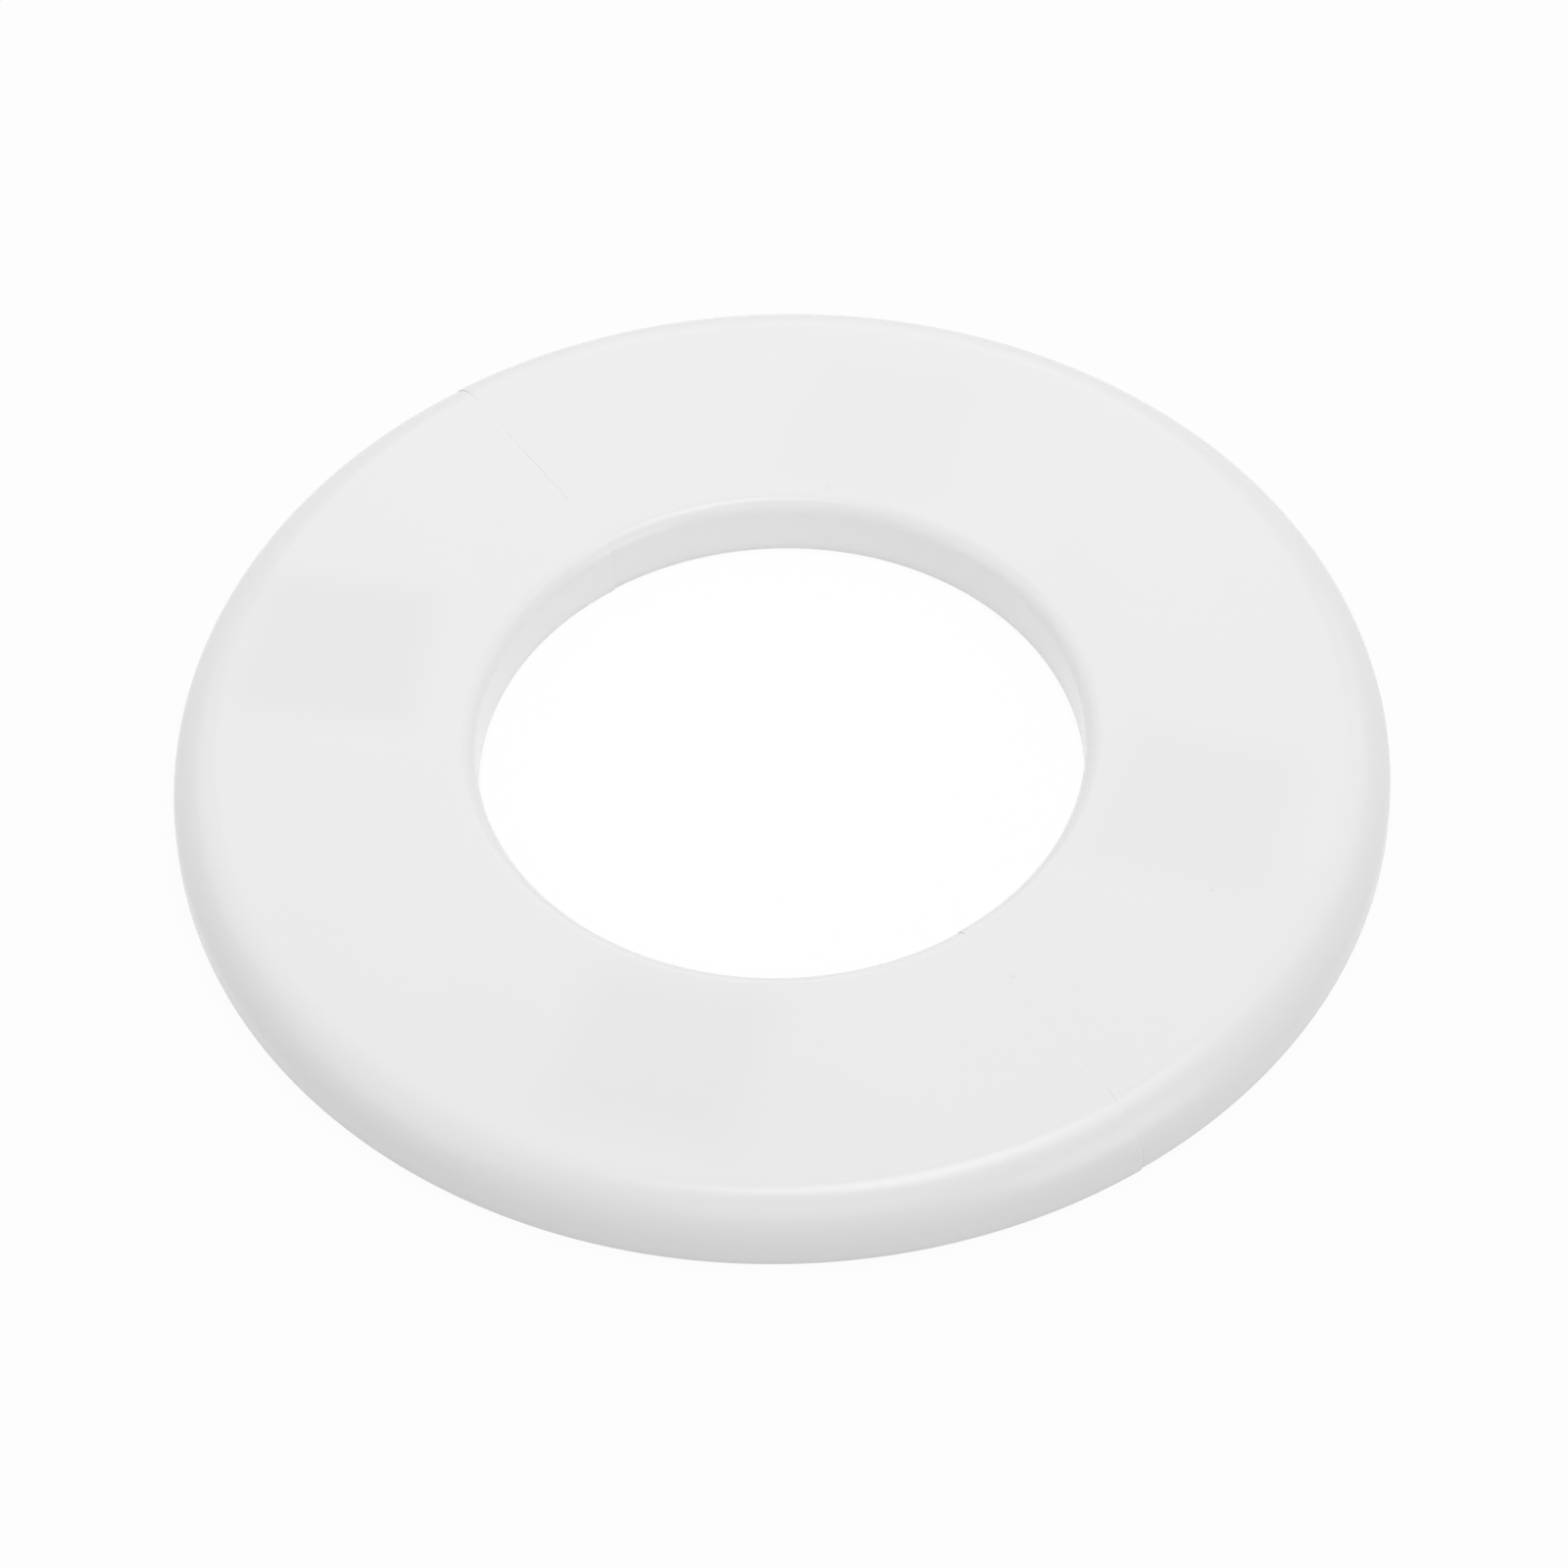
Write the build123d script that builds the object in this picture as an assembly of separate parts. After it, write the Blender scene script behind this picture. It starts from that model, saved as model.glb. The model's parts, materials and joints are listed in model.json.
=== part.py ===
from build123d import *
import os

# Split escutcheon: a two-piece cover ring that closes the gap where a pipe leaves a wall.
# The origin is the centre of the pipe bore on the wall plane and +Z points away from the wall.
# The seam runs along Y, and the halves pull apart along X. All sizes are in millimetres.

# Ring, as seen from the front and in section
OUTSIDE_DIAMETER = 100.0
BORE_DIAMETER = 50.0
HEIGHT = 5.2
RIM_RADIUS = 4.0
BORE_EDGE_RADIUS = 1.5

# Moulded walls, open at the back
FRONT_WALL = 2.2
SIDE_WALL = 2.0

# Seam: the room between the split faces, and how far the halves sit out of line along it
SEAM_GAP = 0.02
OUT_OF_LINE = 0.12

# Push fit: a flat tongue on one end of each half, and a socket with two guide rails on the other
TONGUE_REACH = 6.0
TONGUE_WIDTH = 9.0
TONGUE_THICKNESS = 1.5
TONGUE_LEAD_IN = 0.4
SLIDE_ROOM = 0.2
RAIL_LENGTH = 6.0
RAIL_THICKNESS = 1.2
RAIL_FOOT = 0.6

# Square foam pads stuck under the front wall by hand: angle round the bore, distance from its axis, and
# how far each is turned from facing it
PAD_SIDE = 15.0
PAD_PLACES = {
    "left_pad_rear": (130.5, 38.0, 5.0),
    "left_pad_front": (220.2, 34.7, 1.0),
    "right_pad_rear": (41.8, 34.7, -0.5),
    "right_pad_front": (-49.0, 34.7, -3.0),
}

# Worked out from the sizes above
RIM_R = OUTSIDE_DIAMETER / 2
BORE_R = BORE_DIAMETER / 2
CEILING = HEIGHT - FRONT_WALL
MIDDLE_R = (RIM_R + BORE_R) / 2
SOCKET_WIDTH = TONGUE_WIDTH + 2 * SLIDE_ROOM
# The inside corner is a flat that touches the round of an even wall at its middle
INSIDE_BEVEL = (2 - 2**0.5) * (RIM_RADIUS - SIDE_WALL)
CUT_MARGIN = 1.0


def section(inner_r, outer_r, bottom, top):
    """Upright section of a ring on the +X side."""
    place = Plane.XZ * Pos((inner_r + outer_r) / 2, (bottom + top) / 2)
    return place * Rectangle(outer_r - inner_r, top - bottom)


def top_corner(face, side):
    """The section's upper corner towards the bore (side 0) or the rim (side -1)."""
    return face.vertices().group_by(Axis.Z)[-1].sort_by(Axis.X)[side]


def half_turned(face):
    """The section turned half way round the bore axis, on the +X side of the seam."""
    return Rot(0, 0, -90) * revolve(face, Axis.Z, 180)


def block(x, y, z):
    """A block between two values on each axis."""
    size = Box(x[1] - x[0], y[1] - y[0], z[1] - z[0])
    return Pos((x[0] + x[1]) / 2, (y[0] + y[1]) / 2, (z[0] + z[1]) / 2) * size


def shell():
    """Half ring with a rounded rim and bore edge, hollowed from the back and walled at both split faces."""
    outside = section(BORE_R, RIM_R, 0, HEIGHT)
    outside = fillet(top_corner(outside, -1), RIM_RADIUS)
    outside = fillet(top_corner(outside, 0), BORE_EDGE_RADIUS)
    inside = section(BORE_R + SIDE_WALL, RIM_R - SIDE_WALL, -CUT_MARGIN, CEILING)
    inside = chamfer(top_corner(inside, -1), INSIDE_BEVEL)
    hollow = split(half_turned(inside), bisect_by=Plane.YZ.offset(SIDE_WALL), keep=Keep.TOP)
    return half_turned(outside) - hollow


def tongue():
    """Flat tongue that stands out of the front end's split face, with a lead-in all round its tip."""
    top = CEILING - SLIDE_ROOM
    blade = block(
        (-TONGUE_REACH, SIDE_WALL),
        (-MIDDLE_R - TONGUE_WIDTH / 2, -MIDDLE_R + TONGUE_WIDTH / 2),
        (top - TONGUE_THICKNESS, top),
    )
    return chamfer(blade.faces().sort_by(Axis.X)[0].edges(), TONGUE_LEAD_IN)


def socket_opening():
    """Gap in the rear end's wall, from the back up to the front wall, that the tongue slides through."""
    return block(
        (-CUT_MARGIN, SIDE_WALL),
        (MIDDLE_R - SOCKET_WIDTH / 2, MIDDLE_R + SOCKET_WIDTH / 2),
        (-CUT_MARGIN, CEILING),
    )


def socket_rail(side):
    """Guide rail beside the socket, under the front wall: side is 1 towards the rim, -1 towards the bore."""
    near = MIDDLE_R + side * SOCKET_WIDTH / 2
    far = near + side * RAIL_THICKNESS
    return block(
        (SIDE_WALL, SIDE_WALL + RAIL_LENGTH),
        (min(near, far), max(near, far)),
        (RAIL_FOOT, CEILING),
    )


def moulding():
    """One half as it leaves the mould, on the +X side of the seam."""
    return shell() - socket_opening() + tongue() + socket_rail(1) + socket_rail(-1)


def pad(angle, distance, turn):
    """Square foam pad from the front wall down to the wall plane."""
    place = Rot(0, 0, angle) * Pos(distance, 0, CEILING / 2) * Rot(0, 0, turn)
    return place * Box(PAD_SIDE, PAD_SIDE, CEILING)


# Both halves come from the same mould: the left one is the right one turned half round
right_half = Pos(SEAM_GAP / 2, OUT_OF_LINE / 2, 0) * moulding()
pieces = {
    "right_half": right_half,
    "left_half": Rot(0, 0, 180) * right_half,
}
for name, place in PAD_PLACES.items():
    pieces[name] = pad(*place)

os.makedirs("parts", exist_ok=True)
for name, piece in pieces.items():
    piece.label = name
    export_step(piece, f"parts/{name}.step")
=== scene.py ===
import json
import logging
import math
from dataclasses import dataclass, field
from enum import Enum
from typing import Any

import bmesh
import bpy
import numpy as np
from mathutils import Matrix, Vector


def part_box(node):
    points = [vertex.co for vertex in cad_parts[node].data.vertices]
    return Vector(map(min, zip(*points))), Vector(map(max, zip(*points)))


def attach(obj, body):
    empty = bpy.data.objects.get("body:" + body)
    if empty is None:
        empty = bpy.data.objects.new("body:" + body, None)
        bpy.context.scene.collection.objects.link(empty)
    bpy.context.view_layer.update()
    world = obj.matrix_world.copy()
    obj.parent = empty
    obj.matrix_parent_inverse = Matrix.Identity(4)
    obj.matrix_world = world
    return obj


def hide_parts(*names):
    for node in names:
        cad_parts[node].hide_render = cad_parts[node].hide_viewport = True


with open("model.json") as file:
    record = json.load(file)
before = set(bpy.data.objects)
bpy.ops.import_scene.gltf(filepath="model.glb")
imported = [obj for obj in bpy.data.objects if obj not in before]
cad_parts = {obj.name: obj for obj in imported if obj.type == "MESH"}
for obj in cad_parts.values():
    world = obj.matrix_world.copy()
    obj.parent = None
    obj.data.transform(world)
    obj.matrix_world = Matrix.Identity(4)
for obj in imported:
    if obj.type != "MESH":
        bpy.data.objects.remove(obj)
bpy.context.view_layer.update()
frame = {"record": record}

# Lengths are written in millimetres, and a mesh is stored in metres
MM = 0.001

# Colour sockets of a Mix node, by number because its sockets for plain values have the same names
MIX_FROM, MIX_TO, MIX_RESULT = 6, 7, 2

WHITE = "#ffffff"

logging.basicConfig(level=logging.INFO, format="%(name)s: %(message)s")
log = logging.getLogger("escutcheon")

Array = np.ndarray


class Side(Enum):
    """The half that a piece belongs to: its name, and how far its moulding is turned about the bore."""

    RIGHT = ("right", 0.0)
    LEFT = ("left", math.pi)

    @property
    def label(self) -> str:
        """First word of the names of the half's pieces."""
        return self.value[0]

    @property
    def body(self) -> str:
        """Name of the body that the half's pieces ride on."""
        return f"{self.label}_side"

    @property
    def node(self) -> str:
        """Name of the half's solid in the frame."""
        return f"{self.label}_half"

    @property
    def turn(self) -> float:
        """Turn about the bore axis, in radians, from the right half's place."""
        return self.value[1]


class Join(Enum):
    """What a second solid does to a piece."""

    ADD = "UNION"
    CUT = "DIFFERENCE"


def linear(hex_colour: str) -> tuple[float, float, float, float]:
    """Turns an sRGB hex colour into linear light.

    The sRGB standard's curve is a straight line near black and a power above it.

    Args:
        hex_colour: six hex digits with a leading #.

    Returns:
        Red, green, blue and an alpha of 1.
    """
    coded = np.array([int(hex_colour[i : i + 2], 16) for i in (1, 3, 5)]) / 255
    light = np.where(coded <= 0.04045, coded / 12.92, ((coded + 0.055) / 1.055) ** 2.4)
    return (*light.tolist(), 1.0)


def per_metre(size_mm: float) -> float:
    """Texture scale at which one feature of a pattern is size_mm across."""
    return 1 / (size_mm * MM)


def smooth_step(share: Array) -> Array:
    """Eases a share, held between 0 and 1, by three times its square less twice its cube."""
    held = np.clip(share, 0, 1)
    return held * held * (3 - 2 * held)


def add_node(
    tree: bpy.types.NodeTree, kind: str, inputs: dict[Any, Any] | None = None, **settings: Any
) -> bpy.types.Node:
    """Adds a shader node.

    Args:
        tree: the node tree.
        kind: Blender's type name of the node, without ShaderNode.
        inputs: input name or index to a plain value, or to an output socket that is linked to it.
        settings: the node's own properties.

    Returns:
        The new node.
    """
    node = tree.nodes.new("ShaderNode" + kind)
    for name, value in settings.items():
        setattr(node, name, value)
    for name, value in (inputs or {}).items():
        if isinstance(value, bpy.types.NodeSocket):
            tree.links.new(value, node.inputs[name])
        else:
            node.inputs[name].default_value = value
    return node


def new_material(name: str) -> tuple[bpy.types.Material, bpy.types.NodeTree]:
    """Makes an empty node material.

    Args:
        name: name of the material.

    Returns:
        The material and its node tree.
    """
    material = bpy.data.materials.new(name)
    material.use_nodes = True
    material.node_tree.nodes.clear()
    return material, material.node_tree


@dataclass(frozen=True)
class MouldedPolypropylene:
    """White polypropylene from a polished mould: satin gloss, and a wall that lets a little light through.

    The light that enters the front wall comes back less where a foam pad is stuck behind it, so the pads
    show as faint soft squares. That shade is painted into the colour, because light traced inside one half
    would stop at its split faces and blacken the seam. The melt leaves a slight cloudiness, and the front
    has a few dark specks. The back of the wall comes from an unpolished mould face and is duller.
    """

    colour: str = "#ececec"
    clouded: str = "#eaeaea"
    # Painted shade: the front's colour over a pad, standing in for light the pad keeps from coming back
    # through the wall
    painted_pad_shade_colour: str = "#e7e7e7"
    speck_colour: str = "#a5a39e"
    ior: float = 1.49
    gloss_roughness: float = 0.23
    back_roughness: float = 0.5
    cloud_mm: float = 18.0
    cloud_detail: float = 1.0
    ripple_mm: float = 1.6
    ripple_detail: float = 2.0
    ripple_height_mm: float = 0.002
    speck_radius_mm: float = 0.36
    speck_strength: float = 0.1
    speck_places_mm: tuple[tuple[float, float, float], ...] = (
        (18.6, 20.2, 5.2),
        (18.7, -33.9, 5.2),
        (0.6, -31.9, 5.2),
    )

    def material(self) -> bpy.types.Material:
        """Builds the material from the pieces' painted pad shade and mould_back attributes.

        Returns:
            The material.
        """
        material, tree = new_material("moulded_white_polypropylene")
        place = add_node(tree, "TexCoord").outputs["Object"]
        # Painted shade over the pads, read from the mesh
        behind = add_node(tree, "Attribute", attribute_name="painted_pad_shade").outputs["Fac"]
        back = add_node(tree, "Attribute", attribute_name="mould_back").outputs["Fac"]
        clouds = add_node(
            tree,
            "TexNoise",
            {"Vector": place, "Scale": per_metre(self.cloud_mm), "Detail": self.cloud_detail},
        )
        colour = add_node(
            tree,
            "Mix",
            {"Factor": clouds.outputs[0], MIX_FROM: linear(self.colour), MIX_TO: linear(self.clouded)},
            data_type="RGBA",
        )
        # Painted shade: the front turns greyer where a pad lies behind the wall
        colour = add_node(
            tree,
            "Mix",
            {"Factor": behind, MIX_FROM: colour.outputs[MIX_RESULT], MIX_TO: linear(self.painted_pad_shade_colour)},
            data_type="RGBA",
        )
        for speck in self.speck_places_mm:
            away = add_node(tree, "VectorMath", {0: place, 1: Vector(speck) * MM}, operation="DISTANCE")
            share = add_node(
                tree,
                "MapRange",
                {
                    "Value": away.outputs["Value"],
                    "From Max": self.speck_radius_mm * MM,
                    "To Min": self.speck_strength,
                    "To Max": 0.0,
                },
                interpolation_type="SMOOTHSTEP",
            )
            colour = add_node(
                tree,
                "Mix",
                {
                    "Factor": share.outputs[0],
                    MIX_FROM: colour.outputs[MIX_RESULT],
                    MIX_TO: linear(self.speck_colour),
                },
                data_type="RGBA",
            )
        roughness = add_node(
            tree,
            "MapRange",
            {"Value": back, "To Min": self.gloss_roughness, "To Max": self.back_roughness},
        )
        ripple = add_node(
            tree,
            "TexNoise",
            {"Vector": place, "Scale": per_metre(self.ripple_mm), "Detail": self.ripple_detail},
        )
        bump = add_node(
            tree, "Bump", {"Distance": self.ripple_height_mm * MM, "Height": ripple.outputs[0]}
        )
        shader = add_node(
            tree,
            "BsdfPrincipled",
            {
                "Base Color": colour.outputs[MIX_RESULT],
                "Roughness": roughness.outputs[0],
                "IOR": self.ior,
                "Normal": bump.outputs[0],
            },
        )
        add_node(tree, "OutputMaterial", {"Surface": shader.outputs[0]})
        return material


@dataclass(frozen=True)
class ClosedCellFoam:
    """Grey closed-cell foam, cut in squares: matt, with fine round cells open along the cut sides."""

    colour: str = "#8d8e90"
    cell_wall: str = "#a9aaac"
    ior: float = 1.45
    roughness: float = 0.85
    cell_mm: float = 0.45
    cell_depth_mm: float = 0.12

    def material(self) -> bpy.types.Material:
        """Builds the material, with cells from the distance to the nearest of scattered points.

        Returns:
            The material.
        """
        material, tree = new_material("grey_closed_cell_foam")
        place = add_node(tree, "TexCoord").outputs["Object"]
        cells = add_node(
            tree, "TexVoronoi", {"Vector": place, "Scale": per_metre(self.cell_mm)}, feature="F1"
        ).outputs["Distance"]
        colour = add_node(
            tree,
            "Mix",
            {"Factor": cells, MIX_FROM: linear(self.colour), MIX_TO: linear(self.cell_wall)},
            data_type="RGBA",
        )
        bump = add_node(tree, "Bump", {"Distance": self.cell_depth_mm * MM, "Height": cells})
        shader = add_node(
            tree,
            "BsdfPrincipled",
            {
                "Base Color": colour.outputs[MIX_RESULT],
                "Roughness": self.roughness,
                "IOR": self.ior,
                "Normal": bump.outputs[0],
            },
        )
        add_node(tree, "OutputMaterial", {"Surface": shader.outputs[0]})
        return material


def points_of(mesh: bpy.types.Mesh) -> Array:
    """Reads a mesh's points.

    Args:
        mesh: the mesh.

    Returns:
        n by 3 array, in millimetres.
    """
    flat = np.empty(len(mesh.vertices) * 3, np.float32)
    mesh.vertices.foreach_get("co", flat)
    return flat.reshape(-1, 3).astype(float) / MM


def mesh_of(name: str, points: Array, faces: list[list[int]]) -> bpy.types.Mesh:
    """Makes a mesh from points in millimetres, with doubles merged and faces turned outwards.

    Args:
        name: name of the mesh.
        points: n by 3 array.
        faces: vertex indices of each face.

    Returns:
        The mesh, in metres.
    """
    closest_mm = 1e-4
    mesh = bpy.data.meshes.new(name)
    mesh.from_pydata((points * MM).tolist(), [], faces)
    shape = bmesh.new()
    shape.from_mesh(mesh)
    bmesh.ops.remove_doubles(shape, verts=shape.verts, dist=closest_mm * MM)
    bmesh.ops.recalc_face_normals(shape, faces=shape.faces)
    shape.to_mesh(mesh)
    shape.free()
    return mesh


def tube(name: str, grid: Array) -> bpy.types.Mesh:
    """Closes a grid into a capped tube: each column is a closed loop, and the end columns are filled.

    Args:
        name: name of the mesh.
        grid: stations round the loop by columns along the tube by 3.

    Returns:
        The closed mesh.
    """
    stations, columns = grid.shape[:2]
    index = np.arange(stations * columns).reshape(stations, columns)
    after = np.roll(index, -1, axis=0)
    sides = np.stack([index[:, :-1], index[:, 1:], after[:, 1:], after[:, :-1]], -1).reshape(-1, 4)
    faces = sides.tolist() + [index[:, 0].tolist(), index[::-1, -1].tolist()]
    return mesh_of(name, grid.reshape(-1, 3), faces)


def new_piece(name: str, mesh: bpy.types.Mesh) -> bpy.types.Object:
    """Puts a mesh into the scene at the origin.

    Args:
        name: name of the object.
        mesh: its mesh.

    Returns:
        The object.
    """
    piece = bpy.data.objects.new(name, mesh)
    bpy.context.scene.collection.objects.link(piece)
    return piece


def joined(base: bpy.types.Mesh, solid: bpy.types.Mesh, join: Join) -> bpy.types.Mesh:
    """Adds a closed solid to another one, or cuts it away.

    Args:
        base: the first closed mesh, which is removed afterwards.
        solid: the second one, also removed.
        join: whether the second is added or cut.

    Returns:
        The new closed mesh.
    """
    piece, other = new_piece("base", base), new_piece("solid", solid)
    boolean = piece.modifiers.new("join", "BOOLEAN")
    boolean.object = other
    boolean.operation = join.value
    boolean.solver = "EXACT"
    made = bpy.data.meshes.new_from_object(piece.evaluated_get(bpy.context.evaluated_depsgraph_get()))
    for used in (piece, other):
        mesh = used.data
        bpy.data.objects.remove(used)
        bpy.data.meshes.remove(mesh)
    return made


class SubAssembly:
    """Something made as one piece, which stands for one CAD node and moves with one half."""

    def dress(
        self, piece: bpy.types.Object, material: bpy.types.Material, slot: str, side: Side, node: str
    ) -> bpy.types.Object:
        """Gives the piece its finish and its body, and lets it stand for its CAD node.

        Args:
            piece: the piece.
            material: its finish.
            slot: not used.
            side: the half that the piece rides with.
            node: the CAD node that it stands for.

        Returns:
            The piece.
        """
        piece.data.materials.clear()
        piece.data.materials.append(material)
        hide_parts(node)
        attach(piece, side.body)
        return piece


@dataclass
class FoamPad(SubAssembly):
    """A square of foam under the front wall, at the place, turn and size of its CAD solid.

    Lengths are in millimetres. A pad's weight is the strength of the painted shade over it, which stands in
    for the light that the pad takes from the wall in front of it, as a share of what the best-pressed pad
    takes, and the fade is the distance over which that painted shade dies away across the pad's edge.
    """

    node: str
    side: Side
    # Strength of the painted shade that the pad throws on the front above it
    painted_shade_weight: float
    fade: float
    corner_radius: float = 0.6
    corner_steps: int = 9
    edge_softness: float = 0.2
    waist: float = 0.12
    levels: int = 25
    bottom: float = field(init=False)
    top: float = field(init=False)
    centre: Array = field(init=False)
    width: float = field(init=False)
    angle: float = field(init=False)

    def __post_init__(self) -> None:
        """Reads the pad's place from its box, and its width and turn from a corner of its solid."""
        low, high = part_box(self.node)
        self.bottom, self.top = low.z / MM, high.z / MM
        self.centre = np.array((low + high)[:2]) / 2 / MM
        offset = points_of(bpy.data.objects[self.node].data)[:, :2] - self.centre
        corner = offset[np.argmax(np.hypot(*offset.T))]
        self.width = math.sqrt(2) * math.hypot(*corner)
        self.angle = math.atan2(corner[1], corner[0]) - math.pi / 4

    def own_axes(self, points: Array) -> Array:
        """Measures points along the pad's own two sides from its middle.

        Args:
            points: n by 3 array, in millimetres.

        Returns:
            n by 2 array, in millimetres.
        """
        offset = points[:, :2] - self.centre
        cos, sin = math.cos(self.angle), math.sin(self.angle)
        return offset @ np.array([(cos, -sin), (sin, cos)])

    def build(self, material: bpy.types.Material) -> bpy.types.Object:
        """Builds the pad.

        A square with rounded corners is carried up the pad's height. Its half width is the solid's, less a
        waist that follows a half sine of the height, as foam draws in between its two stuck faces, and less
        a soft edge at both ends.

        Args:
            material: the foam.

        Returns:
            The piece.
        """
        quarter = np.arange(4)[:, None] * np.pi / 2
        around = (quarter + np.linspace(0, np.pi / 2, self.corner_steps)).ravel()
        diagonal = np.repeat(quarter + np.pi / 4, self.corner_steps)
        height = np.linspace(self.bottom, self.top, self.levels)
        inset = self.waist * np.sin(np.pi * np.linspace(0, 1, self.levels))
        inset[[0, -1]] = self.edge_softness
        straight = self.width / 2 - inset - self.corner_radius
        u = np.sign(np.cos(diagonal))[:, None] * straight + self.corner_radius * np.cos(around)[:, None]
        v = np.sign(np.sin(diagonal))[:, None] * straight + self.corner_radius * np.sin(around)[:, None]
        cos, sin = math.cos(self.angle), math.sin(self.angle)
        x = self.centre[0] + u * cos - v * sin
        y = self.centre[1] + u * sin + v * cos
        grid = np.stack([x, y, np.broadcast_to(height, x.shape)], -1)
        piece = new_piece(f"{self.node}_foam", tube(self.node, grid))
        return self.dress(piece, material, "foam_pad", self.side, self.node)


@dataclass(frozen=True)
class Opening:
    """A stretch of the seam that stands slightly open. Lengths are in millimetres."""

    setback: float
    at_r: float
    spread: float

    def along(self, r: Array) -> Array:
        """Setback of a split face at distances from the axis: a bell curve about the widest place."""
        return self.setback * np.exp(-(((r - self.at_r) / self.spread) ** 2))


@dataclass
class HalfRing(SubAssembly):
    """One moulded half of the ring.

    Lengths are in millimetres, and the main ones come from the frame. Along a split face the surface drops
    over the last seam_edge_width, by seam_least of the full drop at the bore edge and by all of it from
    seam_fade further out. A cutter runs past the faces that it cuts by the overlap.
    """

    side: Side
    pads: list[FoamPad]
    rim_radius: float = 4.0
    bore_edge_radius: float = 1.5
    front_wall: float = 2.2
    side_wall: float = 2.0
    seam_edge_width: float = 0.3
    seam_front_drop: float = 0.013
    seam_wall_drop: float = 0.04
    seam_closing: float = 0.009
    rear_opening: Opening = Opening(setback=0.0065, at_r=37.0, spread=4.5)
    front_opening: Opening = Opening(setback=0.01, at_r=46.4, spread=1.0)
    seam_fade: float = 11.0
    seam_least: float = 0.2
    tongue_width: float = 9.0
    tongue_thickness: float = 1.5
    tongue_lead_in: float = 0.4
    slide_room: float = 0.2
    rail_length: float = 6.0
    rail_thickness: float = 1.2
    rail_foot: float = 0.6
    rail_setback: float = 0.01
    overlap: float = 0.5
    columns: int = 360
    rim_steps: int = 81
    bore_steps: int = 33
    front_steps: int = 42
    wall_steps: int = 7
    edge_steps: int = 7
    crease_degrees: float = 25.0
    rim_r: float = field(init=False)
    bore_r: float = field(init=False)
    height: float = field(init=False)
    shift: Vector = field(init=False)
    tongue_reach: float = field(init=False)
    ceiling: float = field(init=False)
    middle_r: float = field(init=False)

    def __post_init__(self) -> None:
        """Reads the ring's main sizes from the frame."""
        low, high = (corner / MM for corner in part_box(Side.RIGHT.node))
        bore = next(mount for mount in frame["record"]["mounts"] if mount["name"] == "pipe_bore")
        self.rim_r = (high.y - low.y) / 2
        self.bore_r = bore["dims"]["r_mm"]
        self.height = high.z
        self.shift = Vector((high.x - self.rim_r, (high.y + low.y) / 2, 0.0))
        self.tongue_reach = self.shift.x - low.x
        self.ceiling = self.height - self.front_wall
        self.middle_r = (self.rim_r + self.bore_r) / 2

    def front_profile(self) -> tuple[Array, Array]:
        """Outline of the section from the rim's foot over the front to the bore's foot.

        The rim wall is straight, then a quarter circle leads to the flat front, and a smaller quarter
        circle leads down into the straight bore wall.

        Returns:
            Distance from the axis and height of each station, and the inward direction there.
        """
        rim_turn = np.linspace(0, np.pi / 2, self.rim_steps)
        bore_turn = np.linspace(np.pi / 2, np.pi, self.bore_steps)
        rim_centre, rim_top = self.rim_r - self.rim_radius, self.height - self.rim_radius
        bore_centre, bore_top = self.bore_r + self.bore_edge_radius, self.height - self.bore_edge_radius
        stretches = [
            (self.rim_r, np.linspace(0, rim_top, self.wall_steps)[:-1], 0.0),
            (
                rim_centre + self.rim_radius * np.cos(rim_turn),
                rim_top + self.rim_radius * np.sin(rim_turn),
                rim_turn,
            ),
            (np.linspace(rim_centre, bore_centre, self.front_steps)[1:-1], self.height, np.pi / 2),
            (
                bore_centre + self.bore_edge_radius * np.cos(bore_turn),
                bore_top + self.bore_edge_radius * np.sin(bore_turn),
                bore_turn,
            ),
            (self.bore_r, np.linspace(bore_top, 0, self.wall_steps)[1:], np.pi),
        ]
        rows = [np.column_stack(np.broadcast_arrays(*stretch)) for stretch in stretches]
        r, z, turn = np.concatenate(rows).T
        return np.stack([r, z], -1), -np.stack([np.cos(turn), np.sin(turn)], -1)

    def hollow_profile(self) -> Array:
        """Outline of the hollow's section: bore collar, ceiling, a flat across the corner, and rim skirt.

        The flat touches the quarter circle that would keep the rim's wall even.

        Returns:
            Stations by 2, distance from the axis and height.
        """
        bevel = (2 - math.sqrt(2)) * (self.rim_radius - self.side_wall)
        inner, outer = self.bore_r + self.side_wall, self.rim_r - self.side_wall
        return np.array(
            [
                (inner, -self.overlap),
                (inner, self.ceiling),
                (outer - bevel, self.ceiling),
                (outer, self.ceiling - bevel),
                (outer, -self.overlap),
            ]
        )

    def turned(self, profile: Array, inward: Array, reach: Array, inset: Array, turn: Array) -> Array:
        """Carries a section round the bore from one split face to the other.

        A station moves inward by the column's inset, then turns about the axis by the column's share of the
        angle at which the station meets the plane x = reach, which is the arc cosine of reach over its
        distance from the axis.

        Args:
            profile: stations by 2, distance from the axis and height.
            inward: stations by 2, inward directions.
            reach: stations by columns, where each column ends.
            inset: stations by columns, depth under the surface.
            turn: share of the turn of each column, from -1 to 1.

        Returns:
            Stations by columns by 3.
        """
        moved = profile[:, None, :] + inset[..., None] * inward[:, None, :]
        r, z = moved[..., 0], moved[..., 1]
        angle = turn * np.arccos(reach / r)
        return np.stack([r * np.cos(angle), r * np.sin(angle), z], -1)

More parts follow.
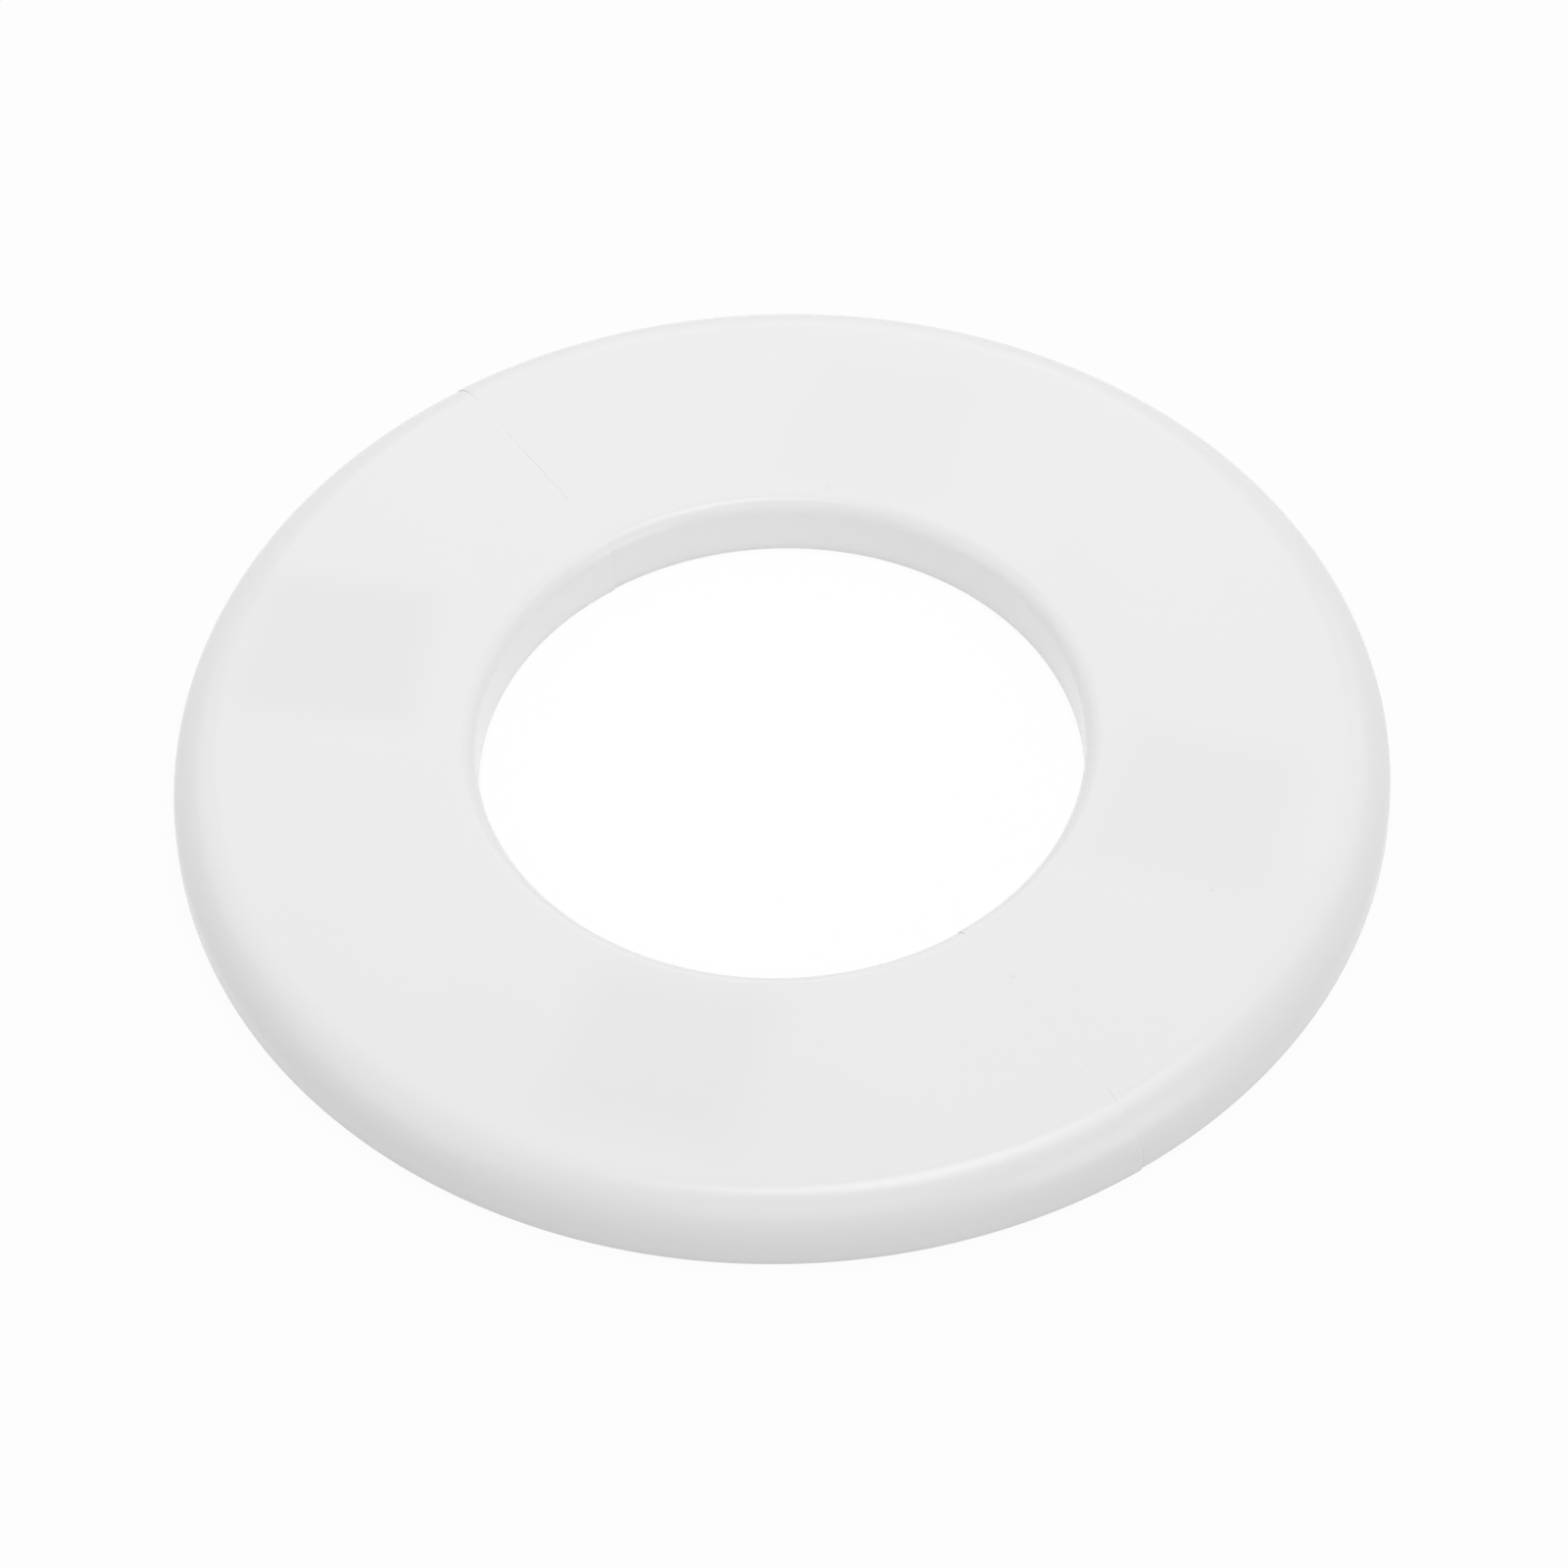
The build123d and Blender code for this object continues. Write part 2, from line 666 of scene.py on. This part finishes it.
    def skin(self) -> Array:
        """The outside, falling away slightly along both split faces.

        Over the last stretch before a split face the surface drops by a shallow parabola of the distance
        that is left, less on the front than on the walls, and least by the bore, from where it grows by a
        smooth step. The split face itself lies a hair closer to the other half at the front than the
        solid's, so that the halves all but touch there, less each end's opening.

        Returns:
            Stations by columns by 3.
        """
        profile, inward = self.front_profile()
        r = profile[:, :1]
        front = np.abs(inward[:, 1:])
        fall = np.linspace(0, 1, self.edge_steps)[1:]
        share = np.concatenate([fall[::-1], np.zeros(self.columns), fall])
        ends = np.ones(fall.size)
        turn = np.concatenate([-ends, np.linspace(-1, 1, self.columns), ends])
        step = smooth_step((r - self.bore_r - self.bore_edge_radius) / self.seam_fade)
        growth = self.seam_least + (1 - self.seam_least) * step
        drop = self.seam_wall_drop + (self.seam_front_drop * growth - self.seam_wall_drop) * front
        inset = drop * share**2
        rear = turn * math.cos(self.side.turn) > 0
        apart = np.where(rear, self.rear_opening.along(r), self.front_opening.along(r))
        past = (self.seam_closing - apart) * front
        reach = self.seam_edge_width - (self.seam_edge_width + past) * share
        return self.turned(profile, inward, reach, inset, turn)

    def hollow(self) -> Array:
        """The space behind the front wall: the hollow's section turned from one end wall to the other.

        Returns:
            Stations by columns by 3.
        """
        profile = self.hollow_profile()
        turn = np.linspace(-1, 1, self.columns // 2)
        reach = np.full((len(profile), turn.size), self.side_wall)
        return self.turned(profile, np.zeros_like(profile), reach, np.zeros_like(reach), turn)

    def bar(
        self,
        name: str,
        x: tuple[float, ...],
        y: tuple[float, float],
        z: tuple[float, float],
        tip_inset: float = 0.0,
    ) -> bpy.types.Mesh:
        """A bar along X: a rectangle of y by z at each of the stations x, drawn in at the first one.

        Args:
            name: name of the mesh.
            x: stations along the bar.
            y: the rectangle's limits along Y.
            z: the rectangle's limits along Z.
            tip_inset: how far the rectangle is drawn in at the first station.

        Returns:
            The closed mesh.
        """
        along = np.array(x)
        inset = np.where(np.arange(along.size) == 0, tip_inset, 0.0)
        corners = np.array([(y[0], z[0]), (y[0], z[1]), (y[1], z[1]), (y[1], z[0])])
        inward = np.sign(corners.mean(axis=0) - corners)
        section = corners[:, None, :] + inward[:, None, :] * inset[None, :, None]
        stations = np.broadcast_to(along, (len(corners), along.size))[..., None]
        return tube(name, np.concatenate([stations, section], -1))

    def tongue(self) -> bpy.types.Mesh:
        """The flat tongue that pushes into the other half, with a lead-in round its tip.

        Returns:
            The closed mesh.
        """
        top = self.ceiling - self.slide_room
        tip = -self.tongue_reach
        half = self.tongue_width / 2
        return self.bar(
            "tongue",
            (tip, tip + self.tongue_lead_in, self.side_wall - self.overlap),
            (-self.middle_r - half, -self.middle_r + half),
            (top - self.tongue_thickness, top),
            self.tongue_lead_in,
        )

    def socket(self) -> bpy.types.Mesh:
        """The gap in the end wall that the other half's tongue slides through.

        Returns:
            The closed mesh.
        """
        half = self.tongue_width / 2 + self.slide_room
        return self.bar(
            "socket",
            (-self.overlap, self.side_wall + self.overlap),
            (self.middle_r - half, self.middle_r + half),
            (-self.overlap, self.ceiling),
        )

    def rails(self) -> list[bpy.types.Mesh]:
        """The two guide rails beside the socket.

        Returns:
            The closed meshes of the rail towards the bore and of the one towards the rim.
        """
        near = self.tongue_width / 2 + self.slide_room + self.rail_setback
        far = near + self.rail_thickness
        return [
            self.bar(
                "rail",
                (self.side_wall - self.overlap, self.side_wall + self.rail_length),
                (self.middle_r + low, self.middle_r + high),
                (self.rail_foot, self.ceiling + self.overlap),
            )
            for low, high in ((-far, -near), (near, far))
        ]

    def build(self, material: bpy.types.Material) -> bpy.types.Object:
        """Builds the half and dresses it.

        Args:
            material: the plastic.

        Returns:
            The piece.
        """
        name = f"{self.side.label}_moulding"
        space = joined(tube("hollow", self.hollow()), self.socket(), Join.ADD)
        for rail in self.rails():
            space = joined(space, rail, Join.CUT)
        body = joined(tube("skin", self.skin()), self.tongue(), Join.ADD)
        piece = new_piece(name, joined(body, space, Join.CUT))
        piece.data.name = name
        piece.data.transform(Matrix.Rotation(self.side.turn, 4, "Z") @ Matrix.Translation(self.shift * MM))
        piece.data.shade_smooth()
        piece.data.set_sharp_from_angle(angle=math.radians(self.crease_degrees))
        self.mark(piece.data)
        return self.dress(piece, material, "white_plastic", self.side, self.side.node)

    def mark(self, mesh: bpy.types.Mesh) -> None:
        """Writes the painted shade that each pad stuck behind the front throws on it, and which faces the
        back of the mould made.

        The painted shade of a pad counts by its weight inside its square and fades to nothing over the
        distance that light spreads in the wall, by the product of two smooth steps, one along each of its
        sides, which have their middle on its edge; it is painted on the front only. The back is what lies
        under the ceiling, from the bore collar's inner face to the rim skirt's.

        Args:
            mesh: the half's mesh, in its place.
        """
        skin_depth = 0.3
        points = points_of(mesh)
        # Painted shade over the pads, in place of light that the pads keep from coming back through the
        # wall
        behind = np.zeros(len(points), np.float32)
        for pad in self.pads:
            depth = (pad.width / 2 - np.abs(pad.own_axes(points))) / pad.fade
            behind += pad.painted_shade_weight * np.prod(smooth_step(depth + 0.5), axis=1)
        # The painted pad shade is kept to the front
        behind[points[:, 2] < self.height - self.bore_edge_radius] = 0
        r = np.hypot(points[:, 0], points[:, 1])
        collar, skirt = self.bore_r + self.side_wall, self.rim_r - self.side_wall
        inside = (r > collar - skin_depth) & (r < skirt + skin_depth)
        back = (inside & (points[:, 2] < self.ceiling + skin_depth)).astype(np.float32)
        for name, values in (("painted_pad_shade", behind), ("mould_back", back)):
            mesh.attributes.new(name, "FLOAT", "POINT").data.foreach_set("value", values)


@dataclass(frozen=True)
class Softbox:
    """A square lamp that faces the ring: degrees from overhead and from straight behind it, and metres.

    Its level is its brightness next to white, which is 1.
    """

    name: str
    zenith: float
    azimuth: float
    distance: float
    size: float
    level: float


@dataclass(frozen=True)
class Snoot:
    """A narrow beam straight down the bore, whose glow off the paper lights the bore wall. In metres."""

    name: str
    height: float
    beam_radius: float
    edge_blend: float
    size: float
    watts: float


@dataclass
class Studio:
    """White paper floor, lamps and the camera. Distances are in metres and angles in degrees."""

    azimuth: float = -32.9
    elevation: float = 49.514
    roll: float = 1.871
    distance: float = 0.5402
    lens_mm: float = 150.454
    sensor_mm: float = 36.0
    clip_start: float = 0.01
    aim_right: float = 0.000163
    aim_up: float = -0.000939
    floor_half: float = 3.0
    floor_drop: float = 0.00002
    paper: str = "#e9e9e9"
    white_share: float = 0.92
    sky_level: float = 0.505
    softboxes: tuple[Softbox, ...] = (
        Softbox("overhead", 10, 25, 0.5, 0.16, 2.38),
        Softbox("overhead_right", 17, 75, 0.32, 0.16, 1.21),
        Softbox("overhead_left", 17, -75, 0.32, 0.16, 0.39),
        Softbox("behind", 48, 0, 0.5, 0.3, 0.74),
        Softbox("behind_low", 70, 0, 0.6, 0.3, 0.38),
        Softbox("behind_right", 50, 55, 0.5, 0.3, 0.55),
        Softbox("behind_left", 50, -55, 0.5, 0.3, 0.61),
        Softbox("left", 50, -110, 0.5, 0.3, 0.66),
        Softbox("front", 40, 180, 0.9, 0.5, 0.68),
        Softbox("front_right_low", 65, 130, 0.9, 0.5, 1.23),
    )
    snoot: Snoot = Snoot(
        "down_the_bore", height=0.5, beam_radius=0.02485, edge_blend=0.02, size=0.0002, watts=2.5
    )

    def looked_at(self, tree: bpy.types.NodeTree) -> bpy.types.NodeSocket:
        """Tells the rays that look at a surface from those that light it.

        Args:
            tree: the node tree.

        Returns:
            Socket that is 1 for rays from the camera, off a gloss or through glass, and 0 for others.
        """
        path = add_node(tree, "LightPath")
        seen = path.outputs["Is Camera Ray"]
        for kind in ("Is Glossy Ray", "Is Transmission Ray"):
            seen = add_node(tree, "Math", {0: seen, 1: path.outputs[kind]}, operation="MAXIMUM").outputs[0]
        return seen

    def axes(self) -> tuple[Vector, Vector]:
        """Level directions to the camera's right and straight away from it."""
        turn = math.radians(self.azimuth)
        return Vector((math.cos(turn), math.sin(turn), 0)), Vector((-math.sin(turn), math.cos(turn), 0))

    def floor(self) -> None:
        """Lays the paper just under the wall plane: white where it is looked at, with the ring's shadow."""
        corners = np.array([(-1, -1), (1, -1), (1, 1), (-1, 1)]) * self.floor_half
        points = np.column_stack([corners, np.full(len(corners), -self.floor_drop)])
        mesh = bpy.data.meshes.new("floor")
        mesh.from_pydata(points.tolist(), [], [[0, 1, 2, 3]])
        material, tree = new_material("white_paper_sweep")
        paper = add_node(tree, "BsdfDiffuse", {"Color": linear(self.paper)})
        white = add_node(tree, "Emission", {"Color": linear(WHITE), "Strength": 1.0})
        share = add_node(tree, "MapRange", {"Value": self.looked_at(tree), "To Max": self.white_share})
        mix = add_node(tree, "MixShader", {0: share.outputs[0], 1: paper.outputs[0], 2: white.outputs[0]})
        add_node(tree, "OutputMaterial", {"Surface": mix.outputs[0]})
        mesh.materials.append(material)
        new_piece("floor", mesh)

    def sky(self) -> None:
        """Even light from all round, white where it is looked at."""
        world = bpy.data.worlds.new("studio")
        world.use_nodes = True
        tree = world.node_tree
        tree.nodes.clear()
        strength = add_node(
            tree, "MapRange", {"Value": self.looked_at(tree), "To Min": self.sky_level, "To Max": 1.0}
        )
        light = add_node(tree, "Background", {"Color": linear(WHITE), "Strength": strength.outputs[0]})
        add_node(tree, "OutputWorld", {"Surface": light.outputs[0]})
        bpy.context.scene.world = world

    def hang(self, data: bpy.types.Light, place: Vector) -> None:
        """Hangs a lamp at a place, facing the ring and hidden from the camera.

        Args:
            data: the lamp's light.
            place: where it hangs.
        """
        lamp = bpy.data.objects.new(data.name, data)
        lamp.location = place
        lamp.rotation_euler = (-place).to_track_quat("-Z", "Y").to_euler()
        lamp.visible_camera = False
        bpy.context.scene.collection.objects.link(lamp)

    def hang_softbox(self, box: Softbox) -> None:
        """Hangs a softbox, whose watts are pi times its area times its level.

        Args:
            box: the softbox.
        """
        right, away = self.axes()
        zenith, turn = math.radians(box.zenith), math.radians(box.azimuth)
        level_way = away * math.cos(turn) + right * math.sin(turn)
        way = level_way * math.sin(zenith) + Vector((0, 0, math.cos(zenith)))
        data = bpy.data.lights.new(box.name, "AREA")
        data.shape = "SQUARE"
        data.size = box.size
        data.energy = math.pi * box.size**2 * box.level
        self.hang(data, box.distance * way)

    def hang_snoot(self) -> None:
        """Hangs the snoot over the bore."""
        data = bpy.data.lights.new(self.snoot.name, "SPOT")
        data.energy = self.snoot.watts
        data.spot_size = 2 * math.atan(self.snoot.beam_radius / self.snoot.height)
        data.spot_blend = self.snoot.edge_blend
        data.shadow_soft_size = self.snoot.size
        self.hang(data, Vector((0, 0, self.snoot.height)))

    def camera(self) -> None:
        """Sets the camera at the photograph's angle."""
        data = bpy.data.cameras.new("camera")
        data.sensor_width = self.sensor_mm
        data.lens = self.lens_mm
        data.clip_start = self.clip_start
        camera = bpy.data.objects.new("camera", data)
        right, away = self.axes()
        rise = math.radians(self.elevation)
        back = Vector((0, 0, math.sin(rise))) - away * math.cos(rise)
        up = back.cross(right)
        place = back * self.distance
        aim = right * self.aim_right + up * self.aim_up
        look = (aim - place).to_track_quat("-Z", "Y").to_matrix().to_4x4()
        spin = Matrix.Rotation(math.radians(-self.roll), 4, "Z")
        camera.matrix_world = Matrix.Translation(place) @ look @ spin
        bpy.context.scene.collection.objects.link(camera)
        bpy.context.scene.camera = camera

    def build(self) -> None:
        """Sets up the floor, the light and the camera."""
        self.floor()
        self.sky()
        for box in self.softboxes:
            self.hang_softbox(box)
        self.hang_snoot()
        self.camera()
        bpy.context.scene.view_settings.view_transform = "Standard"


def main() -> None:
    """Builds the pads, the two halves and the studio, and reports each piece."""
    plastic = MouldedPolypropylene().material()
    foam = ClosedCellFoam().material()
    # Each pad's weight sets how dark the painted shade over it is, and its fade how soft its edge
    pads = [
        FoamPad("left_pad_rear", Side.LEFT, painted_shade_weight=1.0, fade=4.7),
        FoamPad("left_pad_front", Side.LEFT, painted_shade_weight=0.9, fade=6.2),
        FoamPad("right_pad_rear", Side.RIGHT, painted_shade_weight=0.42, fade=6.0),
        FoamPad("right_pad_front", Side.RIGHT, painted_shade_weight=0.6, fade=5.3),
    ]
    pieces = [pad.build(foam) for pad in pads]
    pieces += [HalfRing(side, [pad for pad in pads if pad.side is side]).build(plastic) for side in Side]
    for piece in pieces:
        log.info("%s: %d faces", piece.name, len(piece.data.polygons))
    Studio().build()


if __name__ == "__main__":
    main()
